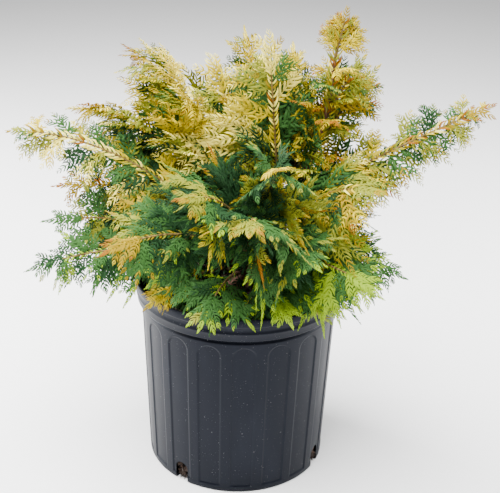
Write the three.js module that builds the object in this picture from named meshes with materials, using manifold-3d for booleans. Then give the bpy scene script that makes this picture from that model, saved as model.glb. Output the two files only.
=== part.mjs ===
// A golden fern-leaved cypress growing in a black nursery pot. Millimetres, +Z up.
// The origin is the centre of the pot's flat underside, +X points to the side of the longest bough
// and -Y to the front. The pot is filled with potting mix. A leaning trunk rises from the mix, boughs
// leave it, and each bough ends in a mass of foliage: a stem with flat, toothed, fern-like sprays.
import * as THREE from "three";
import { mergeVertices } from "three/addons/utils/BufferGeometryUtils.js";
import Module from "manifold-3d";

const wasm = await Module();
wasm.setup();

// ---------- Driving dimensions ----------
const GAP = 0.4; // clearance between pieces that meet
const TAU = 2 * Math.PI;
const UP = new THREE.Vector3(0, 0, 1);

const POT_HEIGHT = 242;
const RIM_RADIUS = 127;
const BAND_RADIUS = 123.7; // lower edge of the rim's band
const BAND_BOTTOM = 214; // height of that edge
const WALL_TOP_RADIUS = 118.8; // wall just under the band
const FOOT_RADIUS = 110.5;
const WALL = 2.2; // wall thickness
const FLOOR = 3;
const PANELS = 18; // recessed upright panels with round tops
const PANEL_ANGLE = (13.3 / 360) * TAU;
const PANEL_DEPTH = 1;
const PANEL_TOP = 202; // top of a panel's round head
const PANEL_FOOT = 8;
const FIRST_PANEL = (-86.2 / 360) * TAU; // angle of the panel nearest the front
const DRAIN_PANELS = [0, 5, 9, 14]; // panels, counted from the second on the left, with a drain hole
const DRAIN_WIDTH = 18;
const DRAIN_TOP = 26;

const SOIL_EDGE = 222; // height of the potting mix at the wall
const GROUND = 226; // and round the trunk

const TRUNK_TIP = 505; // height
const TRUNK_LEAN = 99; // how far the tip stands to the +X side
const TRUNK_RADIUS = 8;
const TRUNK_TIP_RADIUS = 1.8;
const FLARE = 6; // extra radius of the root flare at the ground
const FLARE_HEIGHT = 14;

const BOUGH_RADIUS = 3.6; // at the fork, for a bough 200 long
const STEM_RADIUS = 1.7; // where a mass's stem starts
const TWIG_RADIUS = 0.9; // where a spray leaves the stem
const SPRAY_THICKNESS = 2; // at a spray's midrib
const SPRAY_WIDTH = 0.8; // share of a spray's length
const GABLE = 0.25; // angle by which the sprays on either side of a stem hang down, like a roof
const TOOTH_PITCH = 36;
const BACK_FROM = 50; // a mass whose tip lies further back than this faces backwards
const CROWN_CENTRE = new THREE.Vector3(20, 0, 235);
const GOLDEN_ANGLE = TAU * 0.381966;

// Each limb leaves the trunk at `fork`, a share of the trunk's height, and ends at `tip`. `arch` lifts
// its middle. Its foliage starts at `leafy`, a share of its length: 0 is a mass that sits on the trunk.
// `spray` is the length of its longest spray and `sprays` the number on its sides.
const LIMBS = [
  { name: "leader", fork: 1, tip: [111, 0, 567], arch: 0, leafy: 0, spray: 34, sprays: 5 },
  { name: "crown_middle", fork: 0.3, tip: [24, -20, 542], arch: 10, leafy: 0.28, spray: 88, sprays: 7 },
  { name: "crown_back", fork: 0.24, tip: [-3, 80, 527], arch: 10, leafy: 0.3, spray: 95, sprays: 6 },
  { name: "crown_left", fork: 0.2, tip: [-44, 20, 507], arch: 34, leafy: 0.3, spray: 106, sprays: 6 },
  { name: "crown_right_back", fork: 0.44, tip: [55, 66, 512], arch: 12, leafy: 0, spray: 86, sprays: 5 },
  { name: "trunk_right", fork: 0.72, tip: [134, -6, 514], arch: 10, leafy: 0, spray: 60, sprays: 3 },
  { name: "top_left", fork: 0.17, tip: [-156, 140, 486], arch: 92, leafy: 0.28, spray: 132, sprays: 7 },
  { name: "left_high", fork: 0.11, tip: [-228, 24, 337], arch: 70, leafy: 0.38, spray: 94, sprays: 5 },
  { name: "left_upper", fork: 0.12, tip: [-212, 66, 421], arch: 106, leafy: 0.28, spray: 122, sprays: 6 },
  { name: "left_long", fork: 0.1, tip: [-270, -20, 418], arch: 90, leafy: 0.3, spray: 65, sprays: 7 },
  { name: "left_mid", fork: 0.07, tip: [-236, -8, 304], arch: 56, leafy: 0.4, spray: 82, sprays: 5 },
  { name: "left_low", fork: 0.06, tip: [-248, -52, 260], arch: 58, leafy: 0.36, spray: 72, sprays: 6 },
  { name: "left_front_low", fork: 0.06, tip: [-106, -108, 242], arch: 40, leafy: 0.4, spray: 81, sprays: 4 },
  { name: "left_front", fork: 0.11, tip: [-150, -140, 321], arch: 60, leafy: 0.34, spray: 94, sprays: 6 },
  { name: "front_left_low", fork: 0.05, tip: [-43, -163, 247], arch: 44, leafy: 0.36, spray: 93, sprays: 5 },
  { name: "front_left", fork: 0.15, tip: [-62, -176, 398], arch: 60, leafy: 0.3, spray: 107, sprays: 6 },
  { name: "front_gold", fork: 0.12, tip: [8, -200, 372], arch: 70, leafy: 0.34, spray: 102, sprays: 6 },
  { name: "front_upper", fork: 0.2, tip: [36, -168, 432], arch: 62, leafy: 0, spray: 102, sprays: 6 },
  { name: "front_green", fork: 0.09, tip: [84, -166, 322], arch: 56, leafy: 0.3, spray: 100, sprays: 5 },
  { name: "front_right_low", fork: 0.05, tip: [58, -154, 249], arch: 40, leafy: 0.36, spray: 88, sprays: 4 },
  { name: "right_lime", fork: 0.07, tip: [154, -142, 280], arch: 56, leafy: 0.34, spray: 90, sprays: 6 },
  { name: "right_low", fork: 0.08, tip: [192, -62, 267], arch: 46, leafy: 0.36, spray: 76, sprays: 6 },
  { name: "right_gold", fork: 0.3, tip: [158, -104, 384], arch: 40, leafy: 0.28, spray: 92, sprays: 6 },
  { name: "right_long", fork: 0.36, tip: [288, 0, 460], arch: 12, leafy: 0.28, spray: 62, sprays: 8 },
  { name: "right_upper", fork: 0.6, tip: [154, 20, 497], arch: 10, leafy: 0, spray: 46, sprays: 5 },
  { name: "right_back", fork: 0.2, tip: [190, 112, 352], arch: 36, leafy: 0.3, spray: 107, sprays: 6 },
  { name: "right_back_low", fork: 0.06, tip: [168, 128, 270], arch: 52, leafy: 0.36, spray: 98, sprays: 5 },
  { name: "back_right", fork: 0.22, tip: [92, 188, 408], arch: 52, leafy: 0.28, spray: 110, sprays: 6 },
  { name: "back_low", fork: 0.07, tip: [22, 208, 276], arch: 62, leafy: 0.34, spray: 105, sprays: 6 },
  { name: "back_left", fork: 0.13, tip: [-84, 196, 388], arch: 58, leafy: 0.3, spray: 110, sprays: 6 },
  { name: "back_left_low", fork: 0.06, tip: [-150, 152, 272], arch: 58, leafy: 0.34, spray: 102, sprays: 5 },
];

const COLOURS = {
  pot: { color: 0x24262c, roughness: 0.45, metalness: 0 },
  soil: { color: 0x2b211b, roughness: 1, metalness: 0 },
  bark: { color: 0x6f4b39, roughness: 0.9, metalness: 0 },
  gold: { color: 0xc9b24a, roughness: 0.7, metalness: 0 },
  green: { color: 0x4c7a35, roughness: 0.7, metalness: 0 },
};
const GREEN_BELOW = 335; // a mass whose tip is lower than this is green, and the rest are golden

// ---------- Solids ----------
function toSolid(geometry) {
  geometry.deleteAttribute("uv");
  geometry.deleteAttribute("normal");
  const merged = mergeVertices(geometry, 1e-3);
  return new wasm.Manifold(
    new wasm.Mesh({
      numProp: 3,
      vertProperties: merged.getAttribute("position").array,
      triVerts: new Uint32Array(merged.index.array),
    }),
  );
}

function toGeometry(made) {
  const mesh = made.getMesh();
  return new THREE.BufferGeometry()
    .setAttribute("position", new THREE.BufferAttribute(mesh.vertProperties, 3))
    .setIndex(new THREE.BufferAttribute(mesh.triVerts, 1));
}

// A seeded stream of numbers from 0 to 1.
function randomStream(seed) {
  let state = seed >>> 0;
  return () => {
    state = (state + 0x6d2b79f5) >>> 0;
    let mixed = Math.imul(state ^ (state >>> 15), state | 1);
    mixed ^= mixed + Math.imul(mixed ^ (mixed >>> 7), mixed | 61);
    return ((mixed ^ (mixed >>> 14)) >>> 0) / 4294967296;
  };
}

// ---------- Pot and potting mix ----------
function lathe(profile, segments) {
  const points = profile.map(([radius, height]) => new THREE.Vector2(radius, height));
  const turned = new THREE.LatheGeometry(points, segments);
  return turned.rotateX(Math.PI / 2);
}

function wallRadius(height) {
  return FOOT_RADIUS + ((WALL_TOP_RADIUS - FOOT_RADIUS) * height) / BAND_BOTTOM;
}

// A flat outline, drawn across (x) and up (y), pushed inwards through the pot's wall at an angle.
function wallCutter(outline, inner, outer, angle) {
  const cutter = new THREE.ExtrudeGeometry(outline, {
    depth: outer - inner,
    bevelEnabled: false,
    curveSegments: 2,
  });
  const upright = new THREE.Matrix4().makeBasis(
    new THREE.Vector3(0, 1, 0),
    new THREE.Vector3(0, 0, 1),
    new THREE.Vector3(1, 0, 0),
  );
  return toSolid(cutter.applyMatrix4(upright).translate(inner, 0, 0).rotateZ(angle));
}

function archOutline(halfWidth, foot, top) {
  const outline = new THREE.Shape();
  outline.moveTo(-halfWidth, foot);
  outline.lineTo(halfWidth, foot);
  outline.lineTo(halfWidth, top - halfWidth);
  outline.absarc(0, top - halfWidth, halfWidth, 0, Math.PI, false);
  outline.closePath();
  return outline;
}

// One recessed panel: a slab that follows the wall's slope, so that it is equally deep all the way up.
function panelCutter(angle) {
  const halfWidth = wallRadius(PANEL_TOP / 2) * Math.sin(PANEL_ANGLE / 2);
  const slab = new THREE.ExtrudeGeometry(archOutline(halfWidth, PANEL_FOOT, PANEL_TOP), {
    depth: 12,
    bevelEnabled: false,
    curveSegments: 2,
  });
  const place = slab.getAttribute("position");
  const faceted = Math.cos(PANEL_ANGLE / 2); // the wall's flat facet lies inside its true radius
  for (let i = 0; i < place.count; i++) {
    const [across, height, depth] = [place.getX(i), place.getY(i), place.getZ(i)];
    place.setXYZ(i, wallRadius(height) * faceted - PANEL_DEPTH + depth, across, height);
  }
  return toSolid(slab.rotateZ(angle));
}

function makePot() {
  const inner = (height) => wallRadius(height) - WALL;
  const profile = [
    [0, 0],
    [FOOT_RADIUS - 1, 0],
    [FOOT_RADIUS, 1.5],
    [WALL_TOP_RADIUS, BAND_BOTTOM - 2],
    [BAND_RADIUS, BAND_BOTTOM],
    [BAND_RADIUS + 1.2, POT_HEIGHT - 11],
    [RIM_RADIUS, POT_HEIGHT - 9],
    [RIM_RADIUS, POT_HEIGHT],
    [RIM_RADIUS - 3.4, POT_HEIGHT],
    [inner(BAND_BOTTOM), BAND_BOTTOM],
    [inner(FLOOR), FLOOR],
    [0, FLOOR],
  ];
  // Two facets to a panel: one across the panel and one on the land beside it.
  const segments = 2 * PANELS;
  const turned = lathe(profile, segments);
  const place = turned.getAttribute("position");
  const pitch = TAU / PANELS;
  for (let i = 0; i < place.count; i++) {
    const radius = Math.hypot(place.getX(i), place.getY(i));
    const side = Math.floor(i / profile.length) % segments; // even on one side of a panel, odd on the other
    const angle = FIRST_PANEL + Math.floor(side / 2) * pitch + ((side % 2) - 0.5) * PANEL_ANGLE;
    place.setXY(i, radius * Math.cos(angle), radius * Math.sin(angle));
  }
  let pot = toSolid(turned);
  for (let panel = 0; panel < PANELS; panel++) {
    pot = pot.subtract(panelCutter(FIRST_PANEL + panel * pitch));
  }
  for (const panel of DRAIN_PANELS) {
    const hole = archOutline(DRAIN_WIDTH / 2, -FLOOR, DRAIN_TOP);
    const angle = FIRST_PANEL + (panel - 2) * pitch;
    pot = pot.subtract(wallCutter(hole, FOOT_RADIUS - 14, FOOT_RADIUS + 8, angle));
  }
  return pot;
}

function makeSoil() {
  const beside = (height) => wallRadius(height) - WALL - GAP - 1;
  return toSolid(
    lathe(
      [
        [0, FLOOR + GAP],
        [beside(FLOOR), FLOOR + GAP],
        [beside(SOIL_EDGE - 14), SOIL_EDGE - 14],
        [beside(SOIL_EDGE - 14), SOIL_EDGE],
        [70, GROUND],
        [0, GROUND],
      ],
      20,
    ),
  );
}

// ---------- Limbs ----------
// A tapering round limb along a curve: a cylinder whose rings are moved to the curve.
function limb(curve, radiusAt, sides, steps) {
  const rod = new THREE.CylinderGeometry(1, 1, 1, sides, steps);
  const frames = curve.computeFrenetFrames(steps);
  const place = rod.getAttribute("position");
  const point = new THREE.Vector3();
  for (let i = 0; i < place.count; i++) {
    const step = Math.round((place.getY(i) + 0.5) * steps);
    const radius = radiusAt(step / steps);
    curve.getPoint(step / steps, point);
    point.addScaledVector(frames.normals[step], place.getX(i) * radius);
    point.addScaledVector(frames.binormals[step], -place.getZ(i) * radius);
    place.setXYZ(i, point.x, point.y, point.z);
  }
  return toSolid(rod);
}

function trunkPoint(share) {
  return new THREE.Vector3(
    TRUNK_LEAN * Math.sin((share * Math.PI) / 2),
    6 * Math.sin(share * Math.PI),
    GROUND + (TRUNK_TIP - GROUND) * share,
  );
}

function trunkRadius(share) {
  const flare = FLARE * Math.exp((-share * (TRUNK_TIP - GROUND)) / FLARE_HEIGHT);
  return TRUNK_RADIUS + (TRUNK_TIP_RADIUS - TRUNK_RADIUS) * share ** 0.8 + flare;
}

function makeTrunk(extra) {
  const below = -0.06; // starts under the ground and is cut off flat there
  const steps = 10;
  const shares = Array.from({ length: steps + 1 }, (_, i) => below + (1 - below) * (i / steps) ** 1.5);
  shares[steps] = 1 + (extra * GAP) / (TRUNK_TIP - GROUND);
  const curve = new THREE.CatmullRomCurve3(shares.map(trunkPoint));
  const radiusAt = (t) => trunkRadius(Math.max(shares[Math.round(t * steps)], 0)) + extra;
  return limb(curve, radiusAt, 8, steps).trimByPlane([0, 0, 1], GROUND + GAP - extra);
}

// The limb's line from the trunk's heart to its tip.
function limbCurve({ fork, tip, arch }) {
  const start = trunkPoint(fork);
  const end = new THREE.Vector3(...tip);
  const middle = start.clone().lerp(end, 0.5).addScaledVector(UP, arch);
  return new THREE.QuadraticBezierCurve3(start, middle, end);
}

function stretch(curve, from, to, pieces) {
  const points = Array.from({ length: pieces + 1 }, (_, i) =>
    curve.getPoint(from + ((to - from) * i) / pieces),
  );
  return new THREE.CatmullRomCurve3(points);
}

// ---------- Sprays ----------
// The largest body of a solid that a cut may have left in pieces.
function largestOf(made) {
  return made.decompose().reduce((best, one) => (one.volume() > best.volume() ? one : best));
}

// The side that a spray's flat face looks to: up, away from the crown's middle, and to the front or the
// back. On an upright stem it turns round the stem from spray to spray.
function faceOf(point, along, backwards, turn) {
  const face = point.clone().sub(CROWN_CENTRE).normalize();
  face.add(new THREE.Vector3(0, backwards ? 0.9 : -0.9, 0.5));
  face.addScaledVector(along, -face.dot(along));
  if (face.length() < 0.4) {
    face.set(Math.sin(turn), -Math.cos(turn), 0);
    face.addScaledVector(along, -face.dot(along));
  }
  return face.normalize();
}

// A spray: a flat, toothed blade whose midrib starts at `root` and droops towards its end. It is
// thickest along the midrib and thins to its edge, and its teeth point forwards like a fern's.
function sprayGeometry({ root, along, face, length, droop }, grow) {
  const teeth = Math.max(3, Math.round(length / TOOTH_PITCH));
  const width = length * SPRAY_WIDTH * 0.5;
  const fall = face.clone().multiplyScalar(-0.4).addScaledVector(UP, -0.6);
  const station = (share) => {
    const middle = root.clone().addScaledVector(along, length * share);
    middle.addScaledVector(fall, droop * length * share * share);
    const heading = along.clone().addScaledVector(fall, 2 * droop * share).normalize();
    const across = heading.clone().cross(face).normalize();
    return { middle, heading, across, normal: across.clone().cross(heading) };
  };
  const reach = (share) => width * (1 - share ** 2.4) * Math.min(1, 0.2 + 1.9 * share) + grow;
  const points = [];
  const put = ({ middle, across, normal }, sideways, lift) => {
    const point = middle.clone().addScaledVector(across, sideways).addScaledVector(normal, lift);
    return points.push(point.x, point.y, point.z) / 3 - 1;
  };
  const ribs = [];
  for (let i = 0; i < teeth; i++) {
    const here = station(i / teeth);
    const there = station((i + 0.88) / teeth);
    const half = (SPRAY_THICKNESS / 2) * (1 - (0.5 * i) / teeth) + grow;
    const neck = i === 0 ? TWIG_RADIUS + grow : 0.42 * reach(i / teeth);
    const out = reach((i + 0.8) / teeth);
    const sag = -0.12 * out;
    ribs.push({
      top: put(here, 0, half),
      bottom: put(here, 0, -half),
      notch: [put(here, -neck, sag * 0.4), put(here, neck, sag * 0.4)],
      tooth: [put(there, -out, sag), put(there, out, sag)],
    });
  }
  const apex = put(station(1 + grow / length), 0, 0);
  const faces = [];
  const both = (a, b, c, flip) => faces.push(...(flip ? [a, c, b] : [a, b, c]));
  ribs.forEach((rib, i) => {
    const next = ribs[i + 1];
    for (const side of [0, 1]) {
      for (const ridge of ["top", "bottom"]) {
        const flip = (side === 0) !== (ridge === "bottom");
        both(rib[ridge], rib.notch[side], rib.tooth[side], flip);
        both(rib[ridge], rib.tooth[side], next ? next.notch[side] : apex, flip);
        if (next) both(rib[ridge], next.notch[side], next[ridge], flip);
      }
    }
  });
  const [first] = ribs;
  faces.push(first.top, first.bottom, first.notch[1], first.top, first.notch[0], first.bottom);
  return new THREE.BufferGeometry()
    .setAttribute("position", new THREE.Float32BufferAttribute(points, 3))
    .setIndex(faces);
}

// The sprays of one mass, from the foot of its stem to its end: pairs on alternate sides, shorter
// towards the tip, and one that carries the stem's line on to the limb's tip.
function planSprays(spec, curve, seed) {
  const random = randomStream(seed);
  const tip = new THREE.Vector3(...spec.tip);
  const from = spec.leafy || 0.16;
  const stemEnd = 1 - (0.62 * spec.spray) / curve.getLength();
  const plans = [];
  for (let k = 0; k < spec.sprays; k++) {
    const share = from + ((stemEnd - from) * (k + 0.6)) / spec.sprays;
    const stem = curve.getTangent(share);
    const root = curve.getPoint(share);
    const side = k % 2 ? 1 : -1;
    const face = faceOf(root, stem, tip.y > BACK_FROM, k * GOLDEN_ANGLE);
    face.applyAxisAngle(stem, -side * (GABLE + 0.5 * (random() - 0.5)));
    const along = stem.clone().applyAxisAngle(face, side * (0.9 + 0.24 * random()));
    face.applyAxisAngle(along, side * (0.2 + 0.2 * random()));
    const taper = 1.1 - (0.6 * (k + 0.6)) / spec.sprays;
    const length = spec.spray * taper * (0.86 + 0.28 * random());
    plans.push({ root, along, face, length, droop: 0.12 + 0.12 * random() });
  }
  const root = curve.getPoint(stemEnd - 0.02);
  const droop = 0.12;
  const aim = tip.clone().sub(root);
  const length = aim.length();
  const along = aim.normalize();
  const face = faceOf(root, along, tip.y > BACK_FROM, spec.sprays * GOLDEN_ANGLE);
  along.addScaledVector(face, 0.4 * droop).addScaledVector(UP, 0.6 * droop);
  plans.push({ root, along: along.normalize(), face, length: length, droop });
  return { plans, from, stemEnd };
}

// ---------- The plant ----------
const boxesMeet = (a, b) =>
  [0, 1, 2].every((axis) => a.min[axis] <= b.max[axis] && b.min[axis] <= a.max[axis]);

// Things that a new spray must stay clear of, each with the name of the mass that it belongs to.
const taken = [];
function claim(owner, made) {
  taken.push({ owner, made, box: made.boundingBox() });
}
function isFree(owner, made) {
  const box = made.boundingBox();
  return taken.every(
    (other) =>
      other.owner === owner || !boxesMeet(box, other.box) || other.made.intersect(made).isEmpty(),
  );
}

function makePlant() {
  const trunk = makeTrunk(0);
  const trunkSpace = makeTrunk(GAP);
  const potSpace = toSolid(
    lathe([[0, 0], [RIM_RADIUS + 1, 0], [RIM_RADIUS + 1, POT_HEIGHT + 1], [0, POT_HEIGHT + 1]], 36),
  );
  claim("trunk", trunkSpace);
  claim("pot", potSpace);
  const boughs = new Map();
  const masses = new Map();
  const spaces = []; // round the boughs made so far
  LIMBS.forEach((spec, index) => {
    const curve = limbCurve(spec);
    const length = curve.getLength();
    const { plans, from, stemEnd } = planSprays(spec, curve, 101 + 37 * index);
    const forkRadius = spec.leafy ? BOUGH_RADIUS * Math.sqrt(length / 200) : STEM_RADIUS * 1.3;
    if (spec.leafy) {
      const radiusAt = (t) => forkRadius + (STEM_RADIUS * 1.15 - forkRadius) * t;
      const make = (extra) => {
        const line = stretch(curve, 0, from + (extra * GAP) / length, 3);
        return limb(line, (t) => radiusAt(t) + extra, 5, 3);
      };
      const crowd = wasm.Manifold.union([trunkSpace, ...spaces]);
      boughs.set(spec.name, largestOf(make(0).subtract(crowd)));
      spaces.push(make(GAP));
      claim("bough_" + spec.name, make(GAP));
    }
    const start = spec.leafy ? from + GAP / length : 0;
    const line = stretch(curve, start, stemEnd, 4);
    const thin = (t) => STEM_RADIUS * 1.1 + (TWIG_RADIUS - STEM_RADIUS * 1.1) * t;
    let stem = limb(line, thin, 3, 4);
    if (spec.name === "leader") stem = stem.trimByPlane([0, 0, 1], TRUNK_TIP + GAP);
    else stem = stem.subtract(trunkSpace);
    masses.set(spec.name, { stem, plans, sprays: [] });
    claim(spec.name, limb(line, (t) => thin(t) + GAP, 3, 4));
  });
  // The sprays at the tips go in first, and then the rest, in turn round the masses.
  const rounds = Math.max(...LIMBS.map((spec) => spec.sprays)) + 1;
  for (let round = 0; round < rounds; round++) {
    for (const [name, mass] of masses) {
      const plan = mass.plans[mass.plans.length - 1 - round];
      if (!plan) continue;
      const space = toSolid(sprayGeometry(plan, GAP));
      if (isFree(name, space)) {
        mass.sprays.push(toSolid(sprayGeometry(plan, 0)));
        claim(name, space);
      }
    }
  }
  return { trunk, boughs, masses };
}

// ---------- The object ----------
const object = new THREE.Group();
function addNode(name, made, look) {
  const mesh = new THREE.Mesh(toGeometry(made), new THREE.MeshStandardMaterial(COLOURS[look]));
  mesh.name = name;
  object.add(mesh);
}

addNode("pot", makePot(), "pot");
addNode("potting_mix", makeSoil(), "soil");
const plant = makePlant();
addNode("trunk", plant.trunk, "bark");
for (const [name, made] of plant.boughs) addNode("bough_" + name, made, "bark");
for (const [name, { stem, sprays }] of plant.masses) {
  const made = wasm.Manifold.union([stem, ...sprays]);
  const { tip } = LIMBS.find((spec) => spec.name === name);
  addNode("foliage_" + name, made, tip[2] < GREEN_BELOW ? "green" : "gold");
}

export default object;
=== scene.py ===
import bmesh
import bpy
import math
import numpy as np
import random as randomness
from mathutils import Matrix, Quaternion, Vector, noise


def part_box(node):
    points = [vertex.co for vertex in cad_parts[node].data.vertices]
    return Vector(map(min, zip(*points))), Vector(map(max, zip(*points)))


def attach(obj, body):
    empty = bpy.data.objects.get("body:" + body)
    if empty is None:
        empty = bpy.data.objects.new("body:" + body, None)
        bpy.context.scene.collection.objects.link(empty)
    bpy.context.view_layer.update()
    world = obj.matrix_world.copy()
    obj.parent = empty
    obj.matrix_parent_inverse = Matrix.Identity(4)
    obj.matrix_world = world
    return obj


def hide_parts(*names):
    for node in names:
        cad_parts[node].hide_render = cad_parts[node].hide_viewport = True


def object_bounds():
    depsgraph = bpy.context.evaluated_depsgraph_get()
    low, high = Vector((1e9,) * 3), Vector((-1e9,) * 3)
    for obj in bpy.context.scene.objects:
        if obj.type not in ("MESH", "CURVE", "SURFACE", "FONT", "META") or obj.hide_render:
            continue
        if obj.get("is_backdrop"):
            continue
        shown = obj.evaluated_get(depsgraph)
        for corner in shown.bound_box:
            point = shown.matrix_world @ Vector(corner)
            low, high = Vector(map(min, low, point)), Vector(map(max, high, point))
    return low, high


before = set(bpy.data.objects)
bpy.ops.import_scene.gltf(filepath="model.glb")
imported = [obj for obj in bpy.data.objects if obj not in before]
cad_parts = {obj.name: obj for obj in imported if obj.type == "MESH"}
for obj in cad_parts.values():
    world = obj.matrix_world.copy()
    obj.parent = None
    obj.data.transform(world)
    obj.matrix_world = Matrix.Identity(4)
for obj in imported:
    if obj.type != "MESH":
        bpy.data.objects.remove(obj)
CAD_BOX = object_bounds()
NODES = sorted(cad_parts)

MM = 0.001
TAU = 2 * math.pi
UP = Vector((0, 0, 1))

# ---------- Sizes, in millimetres ----------
POT_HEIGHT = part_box("pot")[1].z / MM
RIM_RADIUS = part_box("pot")[1].x / MM
BAND_RADIUS = RIM_RADIUS - 3.3  # lower edge of the rim's band
BAND_BOTTOM = POT_HEIGHT - 28  # height of that edge
WALL_TOP_RADIUS = 118.8  # wall just under the band
FOOT_RADIUS = 110.5
WALL = 2.2  # wall thickness
FLOOR = 3
FLOOR_RING = 60  # radius of a ring of points in the floor
PANELS = 18  # pressed upright panels with round tops
PANEL_ANGLE = math.radians(13.3)
PANEL_DEPTH = 1.1
PANEL_EDGE = 1.2  # width over which a panel's edge falls
PANEL_TOP = 202
PANEL_FOOT = 8
FIRST_PANEL = math.radians(-86.2)  # angle of the panel nearest the front
DRAIN_PANELS = (0, 5, 9, 14)  # panels, counted from the second on the left, with a drain hole
DRAIN_WIDTH = 18
DRAIN_TOP = 26
POT_STEPS = 40 * PANELS  # round the pot
SHARP_EDGE = 50  # degrees between faces
SOIL_EDGE = 222  # height of the potting mix at the wall
GROUND = 226  # and round the trunk
SOIL_FLAT = 60  # radius of its level middle, outside which it falls
SOIL_STEPS = 96  # round the potting mix

TRUNK_TIP = 505
TRUNK_LEAN = 99  # how far the tip stands to the +X side
TRUNK_BOW = 6  # how far the middle stands to the back
TRUNK_RADIUS = 8
TRUNK_TIP_RADIUS = 1.8
FLARE = 6  # extra radius of the root flare at the ground
FLARE_HEIGHT = 14
BOUGH_RADIUS = 3.6  # at the fork, for a bough of the next length
BOUGH_LENGTH = 200
STEM_RADIUS = 1.7  # where a stem's leaves start
TWIG_RADIUS = 0.9  # where the tip's spray leaves the stem
LEAFY_FORK = 0.16  # share of a stem that is leafy from its fork at which its sprays start
TIP_GAP = 0.62  # share of the longest spray between a stem's end and the limb's tip
LENGTH_STEPS = 200  # in which a limb's length is measured
SPRAY_WIDTH = 0.8  # share of a spray's length
GABLE = 0.25  # angle by which the sprays on either side of a stem hang down, like a roof
BACK_FROM = 50  # a limb whose tip lies further back than this faces backwards
FACE_OUT, FACE_UP = 0.9, 0.5  # how much sprays face the front or back, and up
LEAST_FACE = 0.4  # below which a stem points the way its sprays would face
TIP_DROOP = 0.12
CROWN_CENTRE = Vector((20, 0, 235))
GOLDEN_ANGLE = TAU * 0.381966

# name, fork, tip, arch, leafy, longest spray, sprays: the limbs of the solids
LIMBS = [
    ("leader", 1, (111, 0, 567), 0, 0, 34, 5),
    ("crown_middle", 0.3, (24, -20, 542), 10, 0.28, 88, 7),
    ("crown_back", 0.24, (-3, 80, 527), 10, 0.3, 95, 6),
    ("crown_left", 0.2, (-44, 20, 507), 34, 0.3, 106, 6),
    ("crown_right_back", 0.44, (55, 66, 512), 12, 0, 86, 5),
    ("trunk_right", 0.72, (134, -6, 514), 10, 0, 60, 3),
    ("top_left", 0.17, (-156, 140, 486), 92, 0.28, 132, 7),
    ("left_high", 0.11, (-228, 24, 337), 70, 0.38, 94, 5),
    ("left_upper", 0.12, (-212, 66, 421), 106, 0.28, 122, 6),
    ("left_long", 0.1, (-270, -20, 418), 90, 0.3, 65, 7),
    ("left_mid", 0.07, (-236, -8, 304), 56, 0.4, 82, 5),
    ("left_low", 0.06, (-248, -52, 260), 58, 0.36, 72, 6),
    ("left_front_low", 0.06, (-106, -108, 242), 40, 0.4, 81, 4),
    ("left_front", 0.11, (-150, -140, 321), 60, 0.34, 94, 6),
    ("front_left_low", 0.05, (-43, -163, 247), 44, 0.36, 93, 5),
    ("front_left", 0.15, (-62, -176, 398), 60, 0.3, 107, 6),
    ("front_gold", 0.12, (8, -200, 372), 70, 0.34, 102, 6),
    ("front_upper", 0.2, (36, -168, 432), 62, 0, 102, 6),
    ("front_green", 0.09, (84, -166, 322), 56, 0.3, 100, 5),
    ("front_right_low", 0.05, (58, -154, 249), 40, 0.36, 88, 4),
    ("right_lime", 0.07, (154, -142, 280), 56, 0.34, 90, 6),
    ("right_low", 0.08, (192, -62, 267), 46, 0.36, 76, 6),
    ("right_gold", 0.3, (158, -104, 384), 40, 0.28, 92, 6),
    ("right_long", 0.36, (288, 0, 460), 12, 0.28, 62, 8),
    ("right_upper", 0.6, (154, 20, 497), 10, 0, 46, 5),
    ("right_back", 0.2, (190, 112, 352), 36, 0.3, 107, 6),
    ("right_back_low", 0.06, (168, 128, 270), 52, 0.36, 98, 5),
    ("back_right", 0.22, (92, 188, 408), 52, 0.28, 110, 6),
    ("back_low", 0.07, (22, 208, 276), 62, 0.34, 105, 6),
    ("back_left", 0.13, (-84, 196, 388), 58, 0.3, 110, 6),
    ("back_left_low", 0.06, (-150, 152, 272), 58, 0.34, 102, 5),
]

# The fronds, by the shape of their leaflets
LEAFLET_PITCH = {"sickle": 5.7, "lobed": 3.7, "plain": 5.4}
LEAFLET_LENGTH = {"sickle": (17, 14), "lobed": (10.5, 8.5), "plain": (14, 14)}  # on main and side fronds
LEAFLET_SHARE = {"sickle": 0.25, "lobed": 0.2, "plain": 0.2}  # at most, of the main frond's length
TIP_LEAN = {"sickle": 0.15, "lobed": 0.65, "plain": 0.4}  # how much more they point forwards at a tip
SIDE_PITCH = {"sickle": 28, "lobed": 20, "plain": 20}  # between the pairs of side fronds
SIDE_END = {"sickle": 0.7, "lobed": 0.62, "plain": 0.62}  # share of the main frond that has them
SIDE_TURN = {"sickle": (0.5, 0.7), "lobed": (0.62, 0.84), "plain": (0.62, 0.84)}  # from the main frond
STEM_LEAFLET = {"sickle": 13, "lobed": 9}  # leaflets straight on a stem

LEAFLET_LEAN = math.radians(30)  # how far leaflets point forwards
LEAST_LEAFLET = 2.5
LEAST_FROND = 12
STEM_PITCH = 5.6  # between the leaflets on a stem
RACHIS_RADIUS = 0.85
LONG_SPRAY = 80  # limbs with longer sprays have fewer filling sprays
WIDE_SPRAY = 90  # and those with still longer ones have shorter filling sprays
FILL_RATE, LONG_FILL_RATE = 2.4, 1.6  # filling sprays for each planned one
FILL_PITCH = 60  # and one more for this length of limb
FILL_REACH, WIDE_FILL_REACH = 0.98, 0.75  # their length, as a share of a planned one's
INNER_PITCH = 20  # between the shaded sprays on a bough
TRUNK_SPRAYS = 32
PLAN_SEED, PLAN_STEP = 101, 37  # of the solids' rule, for the first limb and from limb to limb
LIMB_SEED = 2024  # of the finer growth on the first limb
TRUNK_SEED = 2023
RIM_CLEARANCE = 12  # between the front of the pot's rim and the end of a filling spray
AXIS_LOOKS = 24  # steps along a frond's axis in which it is looked for in the pot
MOST_FACES = 190_000  # in one piece


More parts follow.
